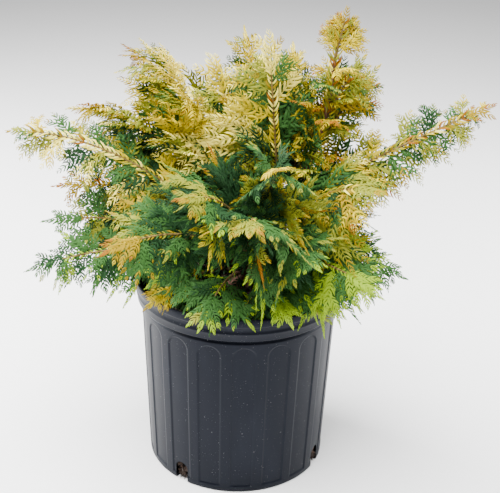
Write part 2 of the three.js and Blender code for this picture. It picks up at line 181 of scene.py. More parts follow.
# ---------- Finishes ----------
def finish_of(name, colour, roughness, specular=0.5):
    """A material with one plain colour, and its nodes, links and shader for what is added to it."""
    material = bpy.data.materials.new(name)
    material.use_nodes = True
    nodes, links = material.node_tree.nodes, material.node_tree.links
    shader = nodes["Principled BSDF"]
    shader.inputs["Base Color"].default_value = (*colour, 1)
    shader.inputs["Roughness"].default_value = roughness
    shader.inputs["Specular IOR Level"].default_value = specular
    return material, nodes, links, shader


def grain(nodes, links, scale, detail, stretch=(1, 1, 1)):
    """Noise on the piece's own coordinates."""
    place = nodes.new("ShaderNodeTexCoord")
    mapping = nodes.new("ShaderNodeMapping")
    mapping.inputs["Scale"].default_value = stretch
    texture = nodes.new("ShaderNodeTexNoise")
    texture.inputs["Scale"].default_value = scale
    texture.inputs["Detail"].default_value = detail
    links.new(place.outputs["Object"], mapping.inputs["Vector"])
    links.new(mapping.outputs["Vector"], texture.inputs["Vector"])
    return texture


def ramp(nodes, links, source, stops):
    """Colours between the stops, each a position and a colour."""
    blend = nodes.new("ShaderNodeValToRGB")
    while len(blend.color_ramp.elements) < len(stops):
        blend.color_ramp.elements.new(0.5)
    for element, (position, colour) in zip(blend.color_ramp.elements, stops):
        element.position = position
        element.color = (*colour, 1)
    links.new(source, blend.inputs["Fac"])
    return blend.outputs["Color"]


def relief(nodes, links, shader, source, strength, distance):
    """Fine relief in the shading, from the source's height."""
    bump = nodes.new("ShaderNodeBump")
    bump.inputs["Strength"].default_value = strength
    bump.inputs["Distance"].default_value = distance
    links.new(source, bump.inputs["Height"])
    links.new(bump.outputs["Normal"], shader.inputs["Normal"])


def pot_plastic():
    """Satin black plastic with a faint moulded grain and some dust."""
    material, nodes, links, shader = finish_of("pot_plastic", (0.004, 0.0045, 0.008), 0.42, 0.12)
    shader.inputs["Specular Tint"].default_value = (0.74, 0.82, 1, 1)
    haze = grain(nodes, links, 26, 5, (1, 1, 0.35))
    dust = grain(nodes, links, 620, 2)
    specks = ramp(nodes, links, dust.outputs["Fac"], [(0.0, (0, 0, 0)), (0.7, (0, 0, 0)), (0.78, (1, 1, 1))])
    dark, middle, light = (0.0018, 0.0022, 0.0042), (0.0026, 0.0031, 0.0056), (0.0052, 0.0061, 0.0098)
    tone = ramp(nodes, links, haze.outputs["Fac"], [(0.3, dark), (0.55, middle), (0.75, light)])
    mix = nodes.new("ShaderNodeMix")
    mix.data_type = "RGBA"
    mix.inputs["B"].default_value = (0.13, 0.13, 0.13, 1)
    links.new(specks, mix.inputs["Factor"])
    links.new(tone, mix.inputs["A"])
    links.new(mix.outputs["Result"], shader.inputs["Base Color"])
    rough = nodes.new("ShaderNodeMapRange")
    rough.inputs["To Min"].default_value = 0.36
    rough.inputs["To Max"].default_value = 0.56
    links.new(haze.outputs["Fac"], rough.inputs["Value"])
    links.new(rough.outputs["Result"], shader.inputs["Roughness"])
    relief(nodes, links, shader, dust.outputs["Fac"], 0.12, 0.0002)
    return material


def bark(name, dark, middle, light):
    """Bark in stringy strips, from the dark of its cracks to the light of its ridges."""
    material, nodes, links, shader = finish_of(name, middle, 0.85, 0.25)
    strips = grain(nodes, links, 240, 6, (1, 1, 0.25))
    tone = ramp(nodes, links, strips.outputs["Fac"], [(0.3, dark), (0.52, middle), (0.72, light)])
    links.new(tone, shader.inputs["Base Color"])
    relief(nodes, links, shader, strips.outputs["Fac"], 0.7, 0.0008)
    return material


def crumb(name, dark, light, scale):
    """Rough crumbs of potting mix between two shades."""
    material, nodes, links, shader = finish_of(name, dark, 0.95, 0.15)
    mottle = grain(nodes, links, scale, 6)
    tone = ramp(nodes, links, mottle.outputs["Fac"], [(0.35, dark), (0.7, light)])
    links.new(tone, shader.inputs["Base Color"])
    relief(nodes, links, shader, mottle.outputs["Fac"], 0.8, 0.0015)
    return material


FROND_COLOURS = {
    "cream": (0.86, 0.735, 0.12),
    "pale_gold": (0.50, 0.385, 0.004),
    "gold": (0.275, 0.183, 0.0003),
    "orange": (0.25, 0.088, 0.0003),
    "lime": (0.215, 0.335, 0.005),
    "olive": (0.21, 0.225, 0.016),
    "green": (0.034, 0.102, 0.019),
    # A near-black green, used mostly as painted shade for the sprays inside the crown, partly their own
    # darker green
    "deep_green": (0.010, 0.040, 0.010),
    "brown": (0.095, 0.052, 0.017),
}

# How often a frond of each palette has each pair of colours, at its foot and at its tip
PALETTES = {
    "cream": (
        (32, "cream", "cream"),
        (32, "pale_gold", "cream"),
        (10, "olive", "cream"),
        (18, "pale_gold", "gold"),
        (4, "green", "pale_gold"),
        (4, "gold", "orange"),
    ),
    "gold": (
        (24, "pale_gold", "gold"),
        (20, "olive", "pale_gold"),
        (16, "olive", "gold"),
        (14, "gold", "orange"),
        (16, "green", "olive"),
        (10, "pale_gold", "cream"),
    ),
    "bright": (
        (34, "pale_gold", "gold"),
        (28, "gold", "pale_gold"),
        (12, "gold", "orange"),
        (26, "olive", "gold"),
    ),
    "tipped": (
        (24, "green", "olive"),
        (22, "olive", "gold"),
        (18, "deep_green", "green"),
        (16, "olive", "pale_gold"),
        (12, "green", "lime"),
        (8, "gold", "orange"),
    ),
    "lime": (
        (46, "green", "lime"),
        (22, "lime", "lime"),
        (26, "green", "green"),
        (4, "green", "gold"),
    ),
    "bright_lime": (
        (45, "lime", "lime"),
        (45, "green", "lime"),
        (10, "olive", "lime"),
    ),
    "green": (
        (34, "deep_green", "green"),
        (34, "green", "green"),
        (16, "green", "lime"),
        (16, "green", "olive"),
    ),
    "olive": (
        (24, "green", "olive"),
        (20, "deep_green", "green"),
        (18, "olive", "pale_gold"),
        (14, "green", "gold"),
        (14, "olive", "gold"),
        (10, "olive", "cream"),
    ),
    # Painted shade: the darkest greens, for the filling sprays behind tipped and green sprays
    "deep": (
        (45, "deep_green", "deep_green"),
        (40, "deep_green", "green"),
        (15, "green", "olive"),
    ),
    # Painted shade for the inner sprays on the boughs and the lower trunk, with a few real dead brown fronds
    "shade": (
        (60, "deep_green", "deep_green"),
        (34, "deep_green", "green"),
        (6, "brown", "brown"),
    ),
}
SICKLE_PALETTES = ("cream", "gold", "bright")  # those of fronds with sickle leaflets
# The palette of the filling sprays behind sprays of each palette: mostly darker and greener, partly the
# inner growth's own green and partly painted shade for the inside of the crown
BEHIND = {
    "cream": "olive",
    "olive": "green",
    "bright": "bright",
    "gold": "olive",
    "tipped": "deep",
    "lime": "green",
    "bright_lime": "lime",
    "green": "deep",
}
# The palette of each limb's sprays, and of the spray at its tip
LIMB_PALETTES = {
    "leader": ("bright", "bright"),
    "crown_middle": ("cream", "cream"),
    "crown_back": ("cream", "gold"),
    "crown_left": ("cream", "cream"),
    "crown_right_back": ("gold", "gold"),
    "trunk_right": ("gold", "gold"),
    "top_left": ("cream", "gold"),
    "left_high": ("gold", "gold"),
    "left_upper": ("gold", "cream"),
    "left_long": ("cream", "gold"),
    "left_mid": ("tipped", "lime"),
    "left_low": ("lime", "green"),
    "left_front_low": ("lime", "gold"),
    "left_front": ("olive", "bright"),
    "front_left_low": ("lime", "bright_lime"),
    "front_left": ("tipped", "bright"),
    "front_gold": ("tipped", "bright"),
    "front_upper": ("tipped", "bright"),
    "front_green": ("green", "lime"),
    "front_right_low": ("lime", "bright_lime"),
    "right_lime": ("bright_lime", "bright_lime"),
    "right_low": ("lime", "green"),
    "right_gold": ("gold", "gold"),
    "right_long": ("gold", "gold"),
    "right_upper": ("gold", "gold"),
    "right_back": ("green", "tipped"),
    "right_back_low": ("green", "lime"),
    "back_right": ("gold", "cream"),
    "back_low": ("green", "lime"),
    "back_left": ("cream", "gold"),
    "back_left_low": ("green", "lime"),
}


def frond_finish(colour):
    """Matt leaflets of one plain colour."""
    return finish_of("frond_" + colour, FROND_COLOURS[colour], 0.66, 0.12)[0]


# ---------- Pieces ----------
def add_piece(name, mesh, material, nodes=(), smooth=True):
    """Adds a mesh as a piece of the one body, which may replace some of the solids' nodes."""
    piece = bpy.data.objects.new(name, mesh)
    bpy.context.scene.collection.objects.link(piece)
    mesh.materials.clear()
    mesh.materials.append(material)
    if smooth:
        mesh.polygons.foreach_set("use_smooth", np.ones(len(mesh.polygons), dtype=bool))
    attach(piece, "root")
    if nodes:
        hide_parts(*nodes)
    return piece


def mesh_from_bm(bm, name):
    """The bmesh, drawn in millimetres, as a mesh in metres."""
    bmesh.ops.scale(bm, vec=(MM, MM, MM), verts=bm.verts)
    mesh = bpy.data.meshes.new(name)
    bm.to_mesh(mesh)
    bm.free()
    return mesh


def joined(bodies):
    """The points and faces of several bodies as one."""
    starts = np.cumsum([0] + [len(points) for points, _ in bodies[:-1]])
    points = np.concatenate([points for points, _ in bodies])
    return points, np.concatenate([faces + start for (_, faces), start in zip(bodies, starts)])


def mesh_from_arrays(name, points, triangles):
    """A joined mesh of many small things, from points in millimetres."""
    mesh = bpy.data.meshes.new(name)
    mesh.vertices.add(len(points))
    mesh.vertices.foreach_set("co", (points * MM).astype(np.float32).ravel())
    mesh.loops.add(triangles.size)
    mesh.loops.foreach_set("vertex_index", triangles.astype(np.int32).ravel())
    mesh.polygons.add(len(triangles))
    mesh.polygons.foreach_set("loop_start", np.arange(0, triangles.size, 3, dtype=np.int32))
    mesh.update(calc_edges=True)
    mesh.validate()
    return mesh


def carried_frames(points):
    """A heading and two cross directions at each point of a line, turned as little as possible."""
    headings = []
    for i in range(len(points)):
        headings.append((points[min(i + 1, len(points) - 1)] - points[max(i - 1, 0)]).normalized())
    side = headings[0].orthogonal().normalized()
    frames = []
    for heading in headings:
        side = (side - heading * side.dot(heading)).normalized()
        frames.append((heading, side, heading.cross(side)))
    return frames


def tube(points, radii, sides=3):
    """A thin tapering twig, closed at both ends, as points and triangles."""
    frames = carried_frames(points)
    angles = np.arange(sides) * TAU / sides
    rings = []
    for (heading, side, other), point, radius in zip(frames, points, radii):
        rings.append(
            np.array(point)
            + radius * (np.outer(np.cos(angles), np.array(side)) + np.outer(np.sin(angles), np.array(other)))
        )
    faces = []
    for ring in range(len(points) - 1):
        for k in range(sides):
            a, b = ring * sides + k, ring * sides + (k + 1) % sides
            faces += [(a, b, b + sides), (a, b + sides, a + sides)]
    last = (len(points) - 1) * sides
    for k in range(1, sides - 1):
        faces += [(0, k + 1, k), (last, last + k, last + k + 1)]
    return np.concatenate(rings), np.array(faces)


# ---------- Pot ----------
def wall_radius(height):
    """The outside of the tapering wall."""
    return FOOT_RADIUS + (WALL_TOP_RADIUS - FOOT_RADIUS) * height / BAND_BOTTOM


def pot_profile():
    """The pot's section from the middle of its underside, round the rim, to the middle of its floor."""
    foot = [(0, 0), (FLOOR_RING, 0), (FOOT_RADIUS - 1.6, 0), (FOOT_RADIUS - 0.5, 0.4), (FOOT_RADIUS, 1.5)]
    heights = [4, 6.4, 7.2, 8, 8.8, 9.6, 11]
    heights += list(np.arange(24, PANEL_TOP - 17, 13))
    heights += list(np.arange(PANEL_TOP - 16, PANEL_TOP + 2.5, 0.8))
    heights += [PANEL_TOP + 3.6, BAND_BOTTOM - 6.6]
    wall = [(wall_radius(height), height) for height in heights]
    band = [
        (WALL_TOP_RADIUS - 0.9, BAND_BOTTOM - 6),
        (WALL_TOP_RADIUS - 1.7, BAND_BOTTOM - 5),
        (WALL_TOP_RADIUS - 1.8, BAND_BOTTOM - 0.7),
        (BAND_RADIUS - 0.9, BAND_BOTTOM - 0.5),
        (BAND_RADIUS - 0.1, BAND_BOTTOM),
        (BAND_RADIUS + 0.2, BAND_BOTTOM + 0.8),
        (BAND_RADIUS + 0.5, BAND_BOTTOM + 7.6),
        (BAND_RADIUS + 1.5, BAND_BOTTOM + 8.6),
        (BAND_RADIUS + 1.6, BAND_BOTTOM + 10),
        (BAND_RADIUS + 0.7, BAND_BOTTOM + 11.2),
        (BAND_RADIUS + 0.9, POT_HEIGHT - 11),
        (RIM_RADIUS - 0.9, POT_HEIGHT - 9.8),
        (RIM_RADIUS - 0.1, POT_HEIGHT - 8.8),
        (RIM_RADIUS, POT_HEIGHT - 7),
        (RIM_RADIUS, POT_HEIGHT - 1.8),
        (RIM_RADIUS - 0.5, POT_HEIGHT - 0.5),
        (RIM_RADIUS - 1.6, POT_HEIGHT),
        (RIM_RADIUS - 2.8, POT_HEIGHT - 0.4),
        (RIM_RADIUS - 3.3, POT_HEIGHT - 1.6),
        (RIM_RADIUS - 3.8, POT_HEIGHT - 8.5),
        (RIM_RADIUS - 5.2, POT_HEIGHT - 9.6),
        (RIM_RADIUS - 5.8, BAND_BOTTOM + 2),
        (WALL_TOP_RADIUS - WALL, BAND_BOTTOM - 1.5),
    ]
    corner = [(FOOT_RADIUS - WALL + 0.3, FLOOR + 1.2), (FOOT_RADIUS - WALL - 0.8, FLOOR)]
    return foot + wall + band + corner + [(FLOOR_RING, FLOOR), (0, FLOOR)]


def panel_depth(angle, height):
    """How deep the outer wall is pressed in at a point: full inside a panel, falling off at its edge."""
    pitch = TAU / PANELS
    across = (angle - FIRST_PANEL + pitch / 2) % pitch - pitch / 2
    radius = wall_radius(PANEL_TOP / 2)
    half = radius * PANEL_ANGLE / 2
    sideways = abs(across) * radius
    if height > PANEL_TOP - half:
        inside = half - math.hypot(sideways, height - (PANEL_TOP - half))
    else:
        inside = min(half - sideways, height - PANEL_FOOT)
    share = min(max(inside / PANEL_EDGE + 0.5, 0), 1)
    return PANEL_DEPTH * share * share * (3 - 2 * share)


def drain_angle(panel):
    """The angle of a panel, counted from the second on the left."""
    return FIRST_PANEL + (panel - 2) * TAU / PANELS


def drain_cutter():
    """Four arch-topped plugs that cut the drain holes."""
    half = DRAIN_WIDTH / 2
    arc = [math.pi * step / 10 for step in range(11)]
    arch = [(half * math.cos(a), DRAIN_TOP - half + half * math.sin(a)) for a in arc]
    outline = [(half, -4)] + arch + [(-half, -4)]
    bm = bmesh.new()
    for panel in DRAIN_PANELS:
        turn = Matrix.Rotation(drain_angle(panel), 4, "Z")
        corners = [turn @ Vector((FOOT_RADIUS - 14, across, height)) for across, height in outline]
        face = bm.faces.new([bm.verts.new(corner) for corner in corners])
        pushed = bmesh.ops.extrude_face_region(bm, geom=[face])["geom"]
        outwards = turn @ Vector((24, 0, 0))
        bmesh.ops.translate(bm, vec=outwards, verts=[v for v in pushed if isinstance(v, bmesh.types.BMVert)])
    bmesh.ops.recalc_face_normals(bm, faces=bm.faces)
    cutter = bpy.data.objects.new("drain_cutter", mesh_from_bm(bm, "drain_cutter"))
    bpy.context.scene.collection.objects.link(cutter)
    return cutter


def make_pot():
    """The moulded pot: a spun section with pressed panels and cut drain holes."""
    bm = bmesh.new()
    start = Matrix.Rotation(FIRST_PANEL, 4, "Z")
    points = [bm.verts.new(start @ Vector((radius, 0, height))) for radius, height in pot_profile()]
    line = [bm.edges.new(pair) for pair in zip(points, points[1:])]
    bmesh.ops.spin(
        bm, geom=points + line, cent=(0, 0, 0), axis=(0, 0, 1), angle=TAU, steps=POT_STEPS, use_merge=True
    )
    bmesh.ops.remove_doubles(bm, verts=bm.verts, dist=0.01)
    for vert in bm.verts:
        radius = math.hypot(vert.co.x, vert.co.y)
        if 4 < vert.co.z < BAND_BOTTOM - 6.3 and radius > wall_radius(vert.co.z) - 1:
            pressed = 1 - panel_depth(math.atan2(vert.co.y, vert.co.x), vert.co.z) / radius
            vert.co.x *= pressed
            vert.co.y *= pressed
    bmesh.ops.recalc_face_normals(bm, faces=bm.faces)
    shell = mesh_from_bm(bm, "pot_shell")
    piece = add_piece("nursery_pot", shell, pot_plastic(), ["pot"])
    cutter = drain_cutter()
    cut = piece.modifiers.new("drain_holes", "BOOLEAN")
    cut.operation = "DIFFERENCE"
    cut.solver = "EXACT"
    cut.object = cutter
    bpy.context.view_layer.update()
    finished = bpy.data.meshes.new_from_object(piece.evaluated_get(bpy.context.evaluated_depsgraph_get()))
    piece.modifiers.clear()
    piece.data = finished
    finished.name = "nursery_pot"
    bpy.data.objects.remove(cutter)
    bpy.data.meshes.remove(shell)
    sharpen(finished, SHARP_EDGE)


def sharpen(mesh, degrees):
    """Marks the edges between faces that meet at more than an angle as sharp."""
    bm = bmesh.new()
    bm.from_mesh(mesh)
    for edge in bm.edges:
        edge.smooth = len(edge.link_faces) == 2 and edge.calc_face_angle() < math.radians(degrees)
    bm.to_mesh(mesh)
    bm.free()


# ---------- Potting mix ----------
def soil_height(radius):
    """The height of the potting mix: level round the trunk, and lower at the wall."""
    return GROUND - (GROUND - SOIL_EDGE) * np.maximum(0, radius - SOIL_FLAT) / SOIL_FLAT


def make_potting_mix():
    """The mix that fills the pot, with a rough top."""
    base, shoulder = FLOOR + 0.4, SOIL_EDGE - 14
    foot, top = FOOT_RADIUS - 10, wall_radius(shoulder) - WALL - 1.4
    section = [(0, base), (foot, base), (foot, DRAIN_TOP + 6), (top, shoulder), (top, SOIL_EDGE)]
    section += [(radius, soil_height(radius)) for radius in range(112, 0, -4)]
    section += [(0, GROUND)]
    bm = bmesh.new()
    points = [bm.verts.new((radius, 0, height)) for radius, height in section]
    line = [bm.edges.new(pair) for pair in zip(points, points[1:])]
    bmesh.ops.spin(
        bm, geom=points + line, cent=(0, 0, 0), axis=(0, 0, 1), angle=TAU, steps=SOIL_STEPS, use_merge=True
    )
    bmesh.ops.remove_doubles(bm, verts=bm.verts, dist=0.01)
    for vert in bm.verts:
        if vert.co.z > SOIL_EDGE - 2:
            vert.co.z += 2.2 * noise.noise(vert.co * 0.09) + 1.2 * noise.noise(vert.co * 0.3) - 1.5
    bmesh.ops.recalc_face_normals(bm, faces=bm.faces)
    look = crumb("potting_mix", (0.007, 0.0055, 0.0045), (0.034, 0.023, 0.017), 180)
    add_piece("potting_soil", mesh_from_bm(bm, "potting_soil"), look, ["potting_mix"])


# A chip before its corners are moved: a block's corners, and its sides as pairs of triangles
BLOCK = np.array([(x, y, z) for x in (-1, 1) for y in (-1, 1) for z in (-1, 1)], float)
BLOCK_SIDES = ((0, 1, 3, 2), (4, 6, 7, 5), (0, 4, 5, 1), (2, 3, 7, 6), (0, 2, 6, 4), (1, 5, 7, 3))
BLOCK_FACES = np.array([face for a, b, c, d in BLOCK_SIDES for face in ((a, b, c), (a, c, d))])


def scatter_chips(name, look, places, low, high, flatness, seed):
    """Broken bits with crooked corners, one at each place."""
    draw = np.random.default_rng(seed)
    count = len(places)
    sizes = draw.uniform(low, high, (count, 1, 1)) * np.array([1, 0.6, flatness]) * 0.5
    corners = BLOCK[None] * (1 + draw.uniform(-0.35, 0.35, (count, 8, 3))) * sizes
    turns = draw.normal(size=(count, 4))
    turns /= np.linalg.norm(turns, axis=1, keepdims=True)
    spins = np.array([Quaternion(turn).to_matrix() for turn in turns])
    points = np.einsum("nij,nkj->nki", spins, corners) + np.asarray(places)[:, None]
    points[..., 2] = np.maximum(points[..., 2], FLOOR + 0.3)
    faces = BLOCK_FACES[None] + 8 * np.arange(count)[:, None, None]
    mesh = mesh_from_arrays(name, points.reshape(-1, 3), faces.reshape(-1, 3))
    add_piece(name, mesh, look, smooth=False)


def make_chips():
    """Bits of bark and perlite on the mix and in the drain holes."""
    draw = np.random.default_rng(5)

    def on_top(count, outer):
        radius = outer * np.sqrt(draw.uniform(0.02, 1, count))
        angle = draw.uniform(0, TAU, count)
        height = soil_height(radius) + draw.uniform(-2.4, 1, count)
        return np.stack([radius * np.cos(angle), radius * np.sin(angle), height], 1)

    def in_drains(count):
        panel = draw.choice(DRAIN_PANELS, count)
        angle = drain_angle(panel) + draw.uniform(-0.065, 0.065, count)
        radius = FOOT_RADIUS - draw.uniform(4, 9, count)
        height = draw.uniform(4, DRAIN_TOP - 4, count)
        return np.stack([radius * np.cos(angle), radius * np.sin(angle), height], 1)

    bark_look = crumb("bark_bits", (0.010, 0.007, 0.006), (0.06, 0.038, 0.028), 240)
    tan_look = crumb("dry_bits", (0.10, 0.062, 0.047), (0.30, 0.2, 0.155), 240)
    perlite_look = crumb("perlite", (0.55, 0.54, 0.5), (0.8, 0.79, 0.76), 300)
    scatter_chips("bark_bits", bark_look, np.vstack([on_top(2200, 113), in_drains(90)]), 3, 9, 0.4, 11)
    scatter_chips("dry_bits", tan_look, np.vstack([on_top(520, 112), in_drains(14)]), 2.5, 7, 0.35, 12)
    scatter_chips("perlite", perlite_look, np.vstack([on_top(60, 112), in_drains(6)]), 1.6, 3.2, 0.8, 13)


def make_roots():
    """Fine dark roots that have grown out of the drain holes."""
    draw = np.random.default_rng(21)
    bodies = []
    for panel in DRAIN_PANELS:
        angle = drain_angle(panel)
        out = Vector((math.cos(angle), math.sin(angle), 0))
        across = Vector((-out.y, out.x, 0))
        for _ in range(9):
            spot = out * (FOOT_RADIUS - 8) + across * draw.uniform(-6, 6) + UP * draw.uniform(5, 15)
            heading = (out * 1.2 + across * draw.normal(0, 0.4) + UP * draw.normal(-0.3, 0.4)).normalized()
            points = [spot.copy()]
            for _ in range(7):
                heading = (heading + Vector(draw.normal(0, 0.28, 3)) - UP * 0.12).normalized()
                spot = spot + heading * draw.uniform(1.2, 2.1)
                spot.z = max(spot.z, 0.8)
                points.append(spot.copy())
            bodies.append(tube(points, [0.5 - 0.045 * step for step in range(8)], 4))
    points, faces = joined(bodies)
    look = crumb("roots", (0.010, 0.008, 0.007), (0.05, 0.035, 0.026), 300)
    add_piece("drain_roots", mesh_from_arrays("drain_roots", points, faces), look)


# ---------- Limbs ----------
def random_stream(seed):
    """The seeded stream of numbers from 0 to 1 that the solids grow by."""
    keep = 2**32 - 1
    state = seed & keep

    def draw():
        nonlocal state
        state = (state + 0x6D2B79F5) & keep
        mixed = ((state ^ (state >> 15)) * (state | 1)) & keep
        mixed ^= (mixed + (((mixed ^ (mixed >> 7)) * (mixed | 61)) & keep)) & keep
        return ((mixed ^ (mixed >> 14)) & keep) / 2**32

    return draw


def trunk_point(share):
    """A point in the trunk's heart, at a share of its height over the ground."""
    return Vector(
        (
            TRUNK_LEAN * math.sin(share * math.pi / 2),
            TRUNK_BOW * math.sin(share * math.pi),
            GROUND + (TRUNK_TIP - GROUND) * share,
        )
    )


def trunk_radius(share):
    """The trunk's radius there, with the root flare at its foot."""
    flare = FLARE * math.exp(-share * (TRUNK_TIP - GROUND) / FLARE_HEIGHT)
    return TRUNK_RADIUS + (TRUNK_TIP_RADIUS - TRUNK_RADIUS) * share**0.8 + flare


def taper(place, count):
    """How long the sprays are along a stem, from the longest at its foot."""
    return 1.1 - 0.6 * place / count


class Limb:
    """A limb's line from the trunk's heart to its tip, and what grows on it."""

    def __init__(self, index, name, fork, tip, arch, leafy, spray, sprays):
        self.name, self.leafy, self.spray, self.sprays = name, leafy, spray, sprays
        self.start = trunk_point(fork)
        self.tip = Vector(tip)
        self.middle = self.start.lerp(self.tip, 0.5) + UP * arch
        points = [self.point(step / LENGTH_STEPS) for step in range(LENGTH_STEPS + 1)]
        self.length = sum((b - a).length for a, b in zip(points, points[1:]))
        self.leaf_start = leafy or LEAFY_FORK
        self.stem_end = 1 - TIP_GAP * spray / self.length
        self.backwards = self.tip.y > BACK_FROM
        self.fork_radius = BOUGH_RADIUS * math.sqrt(self.length / BOUGH_LENGTH)
        self.plans = self.plan_sprays(random_stream(PLAN_SEED + PLAN_STEP * index))

    def point(self, share):
        return self.start * (1 - share) ** 2 + self.middle * (2 * share * (1 - share)) + self.tip * share**2

    def heading(self, share):
        line = (self.middle - self.start) * (2 * (1 - share)) + (self.tip - self.middle) * (2 * share)
        return line.normalized()

    def face(self, point, along, turn):
        """The way a spray faces: away from the crown's centre, and towards the front or back."""
        turned = Vector((0, FACE_OUT if self.backwards else -FACE_OUT, FACE_UP))
        face = (point - CROWN_CENTRE).normalized() + turned
        face -= along * face.dot(along)
        if face.length < LEAST_FACE:
            face = Vector((math.sin(turn), -math.cos(turn), 0))
            face -= along * face.dot(along)
        return face.normalized()

    def plan_sprays(self, random):
        """The root, heading, face, length and droop of each spray of the solids, the tip's one last."""
        plans = []
        for k in range(self.sprays):
            share = self.leaf_start + (self.stem_end - self.leaf_start) * (k + 0.6) / self.sprays
            stem, root = self.heading(share), self.point(share)
            side = 1 if k % 2 else -1
            face = self.face(root, stem, k * GOLDEN_ANGLE)
            face.rotate(Quaternion(stem, -side * (GABLE + 0.5 * (random() - 0.5))))
            along = stem.copy()
            along.rotate(Quaternion(face, side * (0.9 + 0.24 * random())))
            face.rotate(Quaternion(along, side * (0.2 + 0.2 * random())))
            length = self.spray * taper(k + 0.6, self.sprays) * (0.86 + 0.28 * random())
            plans.append((root, along, face, length, 0.12 + 0.12 * random()))
        root = self.point(self.stem_end - 0.02)
        aim = self.tip - root
        along = aim.normalized()
        face = self.face(root, along, self.sprays * GOLDEN_ANGLE)
        along = (along + face * (0.4 * TIP_DROOP) + UP * (0.6 * TIP_DROOP)).normalized()
        plans.append((root, along, face, aim.length, TIP_DROOP))
        return plans

    def fill_sprays(self, random):
        """More sprays all along the stem, tilted behind the planned ones.

        On the front limbs, those that would end on the pot's rim are left out.
        """
        plans = []
        rate = LONG_FILL_RATE if self.spray > LONG_SPRAY else FILL_RATE
        count = round(self.sprays * rate + self.length / FILL_PITCH)
        first = self.leaf_start * 0.8
        reach = WIDE_FILL_REACH if self.spray > WIDE_SPRAY else FILL_REACH
        for k in range(count):
            share = first + (self.stem_end - first) * (k + 0.25) / count
            stem, root = self.heading(share), self.point(share)
            side = -1 if k % 2 else 1
            face = self.face(root, stem, k * GOLDEN_ANGLE)
            face.rotate(Quaternion(stem, random.uniform(-0.75, 0.75)))
            along = stem.copy()
            along.rotate(Quaternion(face, side * random.uniform(0.45, 1.0)))
            along = (along - face * random.uniform(0.1, 0.5)).normalized()
            face = (face - along * face.dot(along)).normalized()
            length = self.spray * taper(k + 0.25, count) * random.uniform(reach - 0.15, reach + 0.15)
            droop = random.uniform(0.12, 0.28)
            end = root + along * length - (UP * 0.6 + face * 0.4) * (droop * length)
            near_rim = end.xy.length < RIM_RADIUS + RIM_CLEARANCE
            if self.backwards or not near_rim or end.z > POT_HEIGHT + RIM_CLEARANCE:
                plans.append((root, along, face, length, droop))
        return plans

    def inner_sprays(self, random):
        """Short sprays on the bough, darkened as painted shade."""
        plans = []
        count = round(self.length * self.leafy / INNER_PITCH)
        for k in range(count):
            share = self.leafy * (0.25 + 0.75 * (k + 0.5) / count)
            stem, root = self.heading(share), self.point(share)
            face = self.face(root, stem, k * GOLDEN_ANGLE)
            face.rotate(Quaternion(stem, random.uniform(-1.3, 1.3)))
            along = stem.copy()
            along.rotate(Quaternion(face, (1 if k % 2 else -1) * random.uniform(0.7, 1.2)))
            plans.append((root, along, face, random.uniform(38, 66), random.uniform(0.15, 0.35)))
        return plans


def grow_limb(bm, points, radii, sides, roughness):
    """A round tapering limb along a line, with stringy ridges that wander along it."""
    ring = bmesh.ops.create_circle(bm, segments=sides, radius=1, cap_ends=False)["verts"]
    angles = {vert: TAU * i / sides for i, vert in enumerate(ring)}
    frames = carried_frames(points)

    def put(verts, step):
        _, side, other = frames[step]
        for vert in verts:
            angle = angles[vert]
            spot = Vector((math.cos(angle) * 2.2, math.sin(angle) * 2.2, step * 0.22)) + points[0] * 0.37
            swell = 1 + roughness * (noise.noise(spot) + 0.5 * noise.noise(spot * 2.3))
            vert.co = points[step] + (side * math.cos(angle) + other * math.sin(angle)) * radii[step] * swell

    put(ring, 0)
    ends = [list(ring)]
    edges = list(dict.fromkeys(edge for vert in ring for edge in vert.link_edges))
    for step in range(1, len(points)):
        grown = bmesh.ops.extrude_edge_only(bm, edges=edges)["geom"]
        edges = [item for item in grown if isinstance(item, bmesh.types.BMEdge)]
        fresh = [item for item in grown if isinstance(item, bmesh.types.BMVert)]
        old = set(ring)
        for vert in fresh:
            parent = next(edge.other_vert(vert) for edge in vert.link_edges if edge.other_vert(vert) in old)
            angles[vert] = angles[parent]
        put(fresh, step)
        ring = fresh
    ends.append(ring)
    for end in ends:
        bmesh.ops.contextual_create(bm, geom=end)


def make_wood(limbs):
    """The bark of the trunk and of all the boughs."""
    bm = bmesh.new()
    shares = [-0.03 + 1.03 * step / 90 for step in range(91)]
    grow_limb(bm, [trunk_point(s) for s in shares], [trunk_radius(max(s, 0)) for s in shares], 20, 0.16)
    bmesh.ops.recalc_face_normals(bm, faces=bm.faces)
    trunk_mesh = mesh_from_bm(bm, "trunk_bark")
    look = bark("bark", (0.045, 0.022, 0.014), (0.14, 0.066, 0.038), (0.27, 0.155, 0.1))
    add_piece("trunk_bark", trunk_mesh, look, ["trunk"])
    bm = bmesh.new()
    for limb in limbs:
        if not limb.leafy:
            continue
        steps = max(12, int(limb.length * limb.leafy / 3))
        shares = [limb.leafy * step / steps for step in range(steps + 1)]
        thin = STEM_RADIUS * 1.15
        radii = [limb.fork_radius + (thin - limb.fork_radius) * step / steps for step in range(steps + 1)]
        grow_limb(bm, [limb.point(s) for s in shares], radii, 10, 0.2)
    bmesh.ops.recalc_face_normals(bm, faces=bm.faces)
    boughs = [node for node in NODES if node.startswith("bough_")]
    add_piece("bough_bark", mesh_from_bm(bm, "bough_bark"), look, boughs)


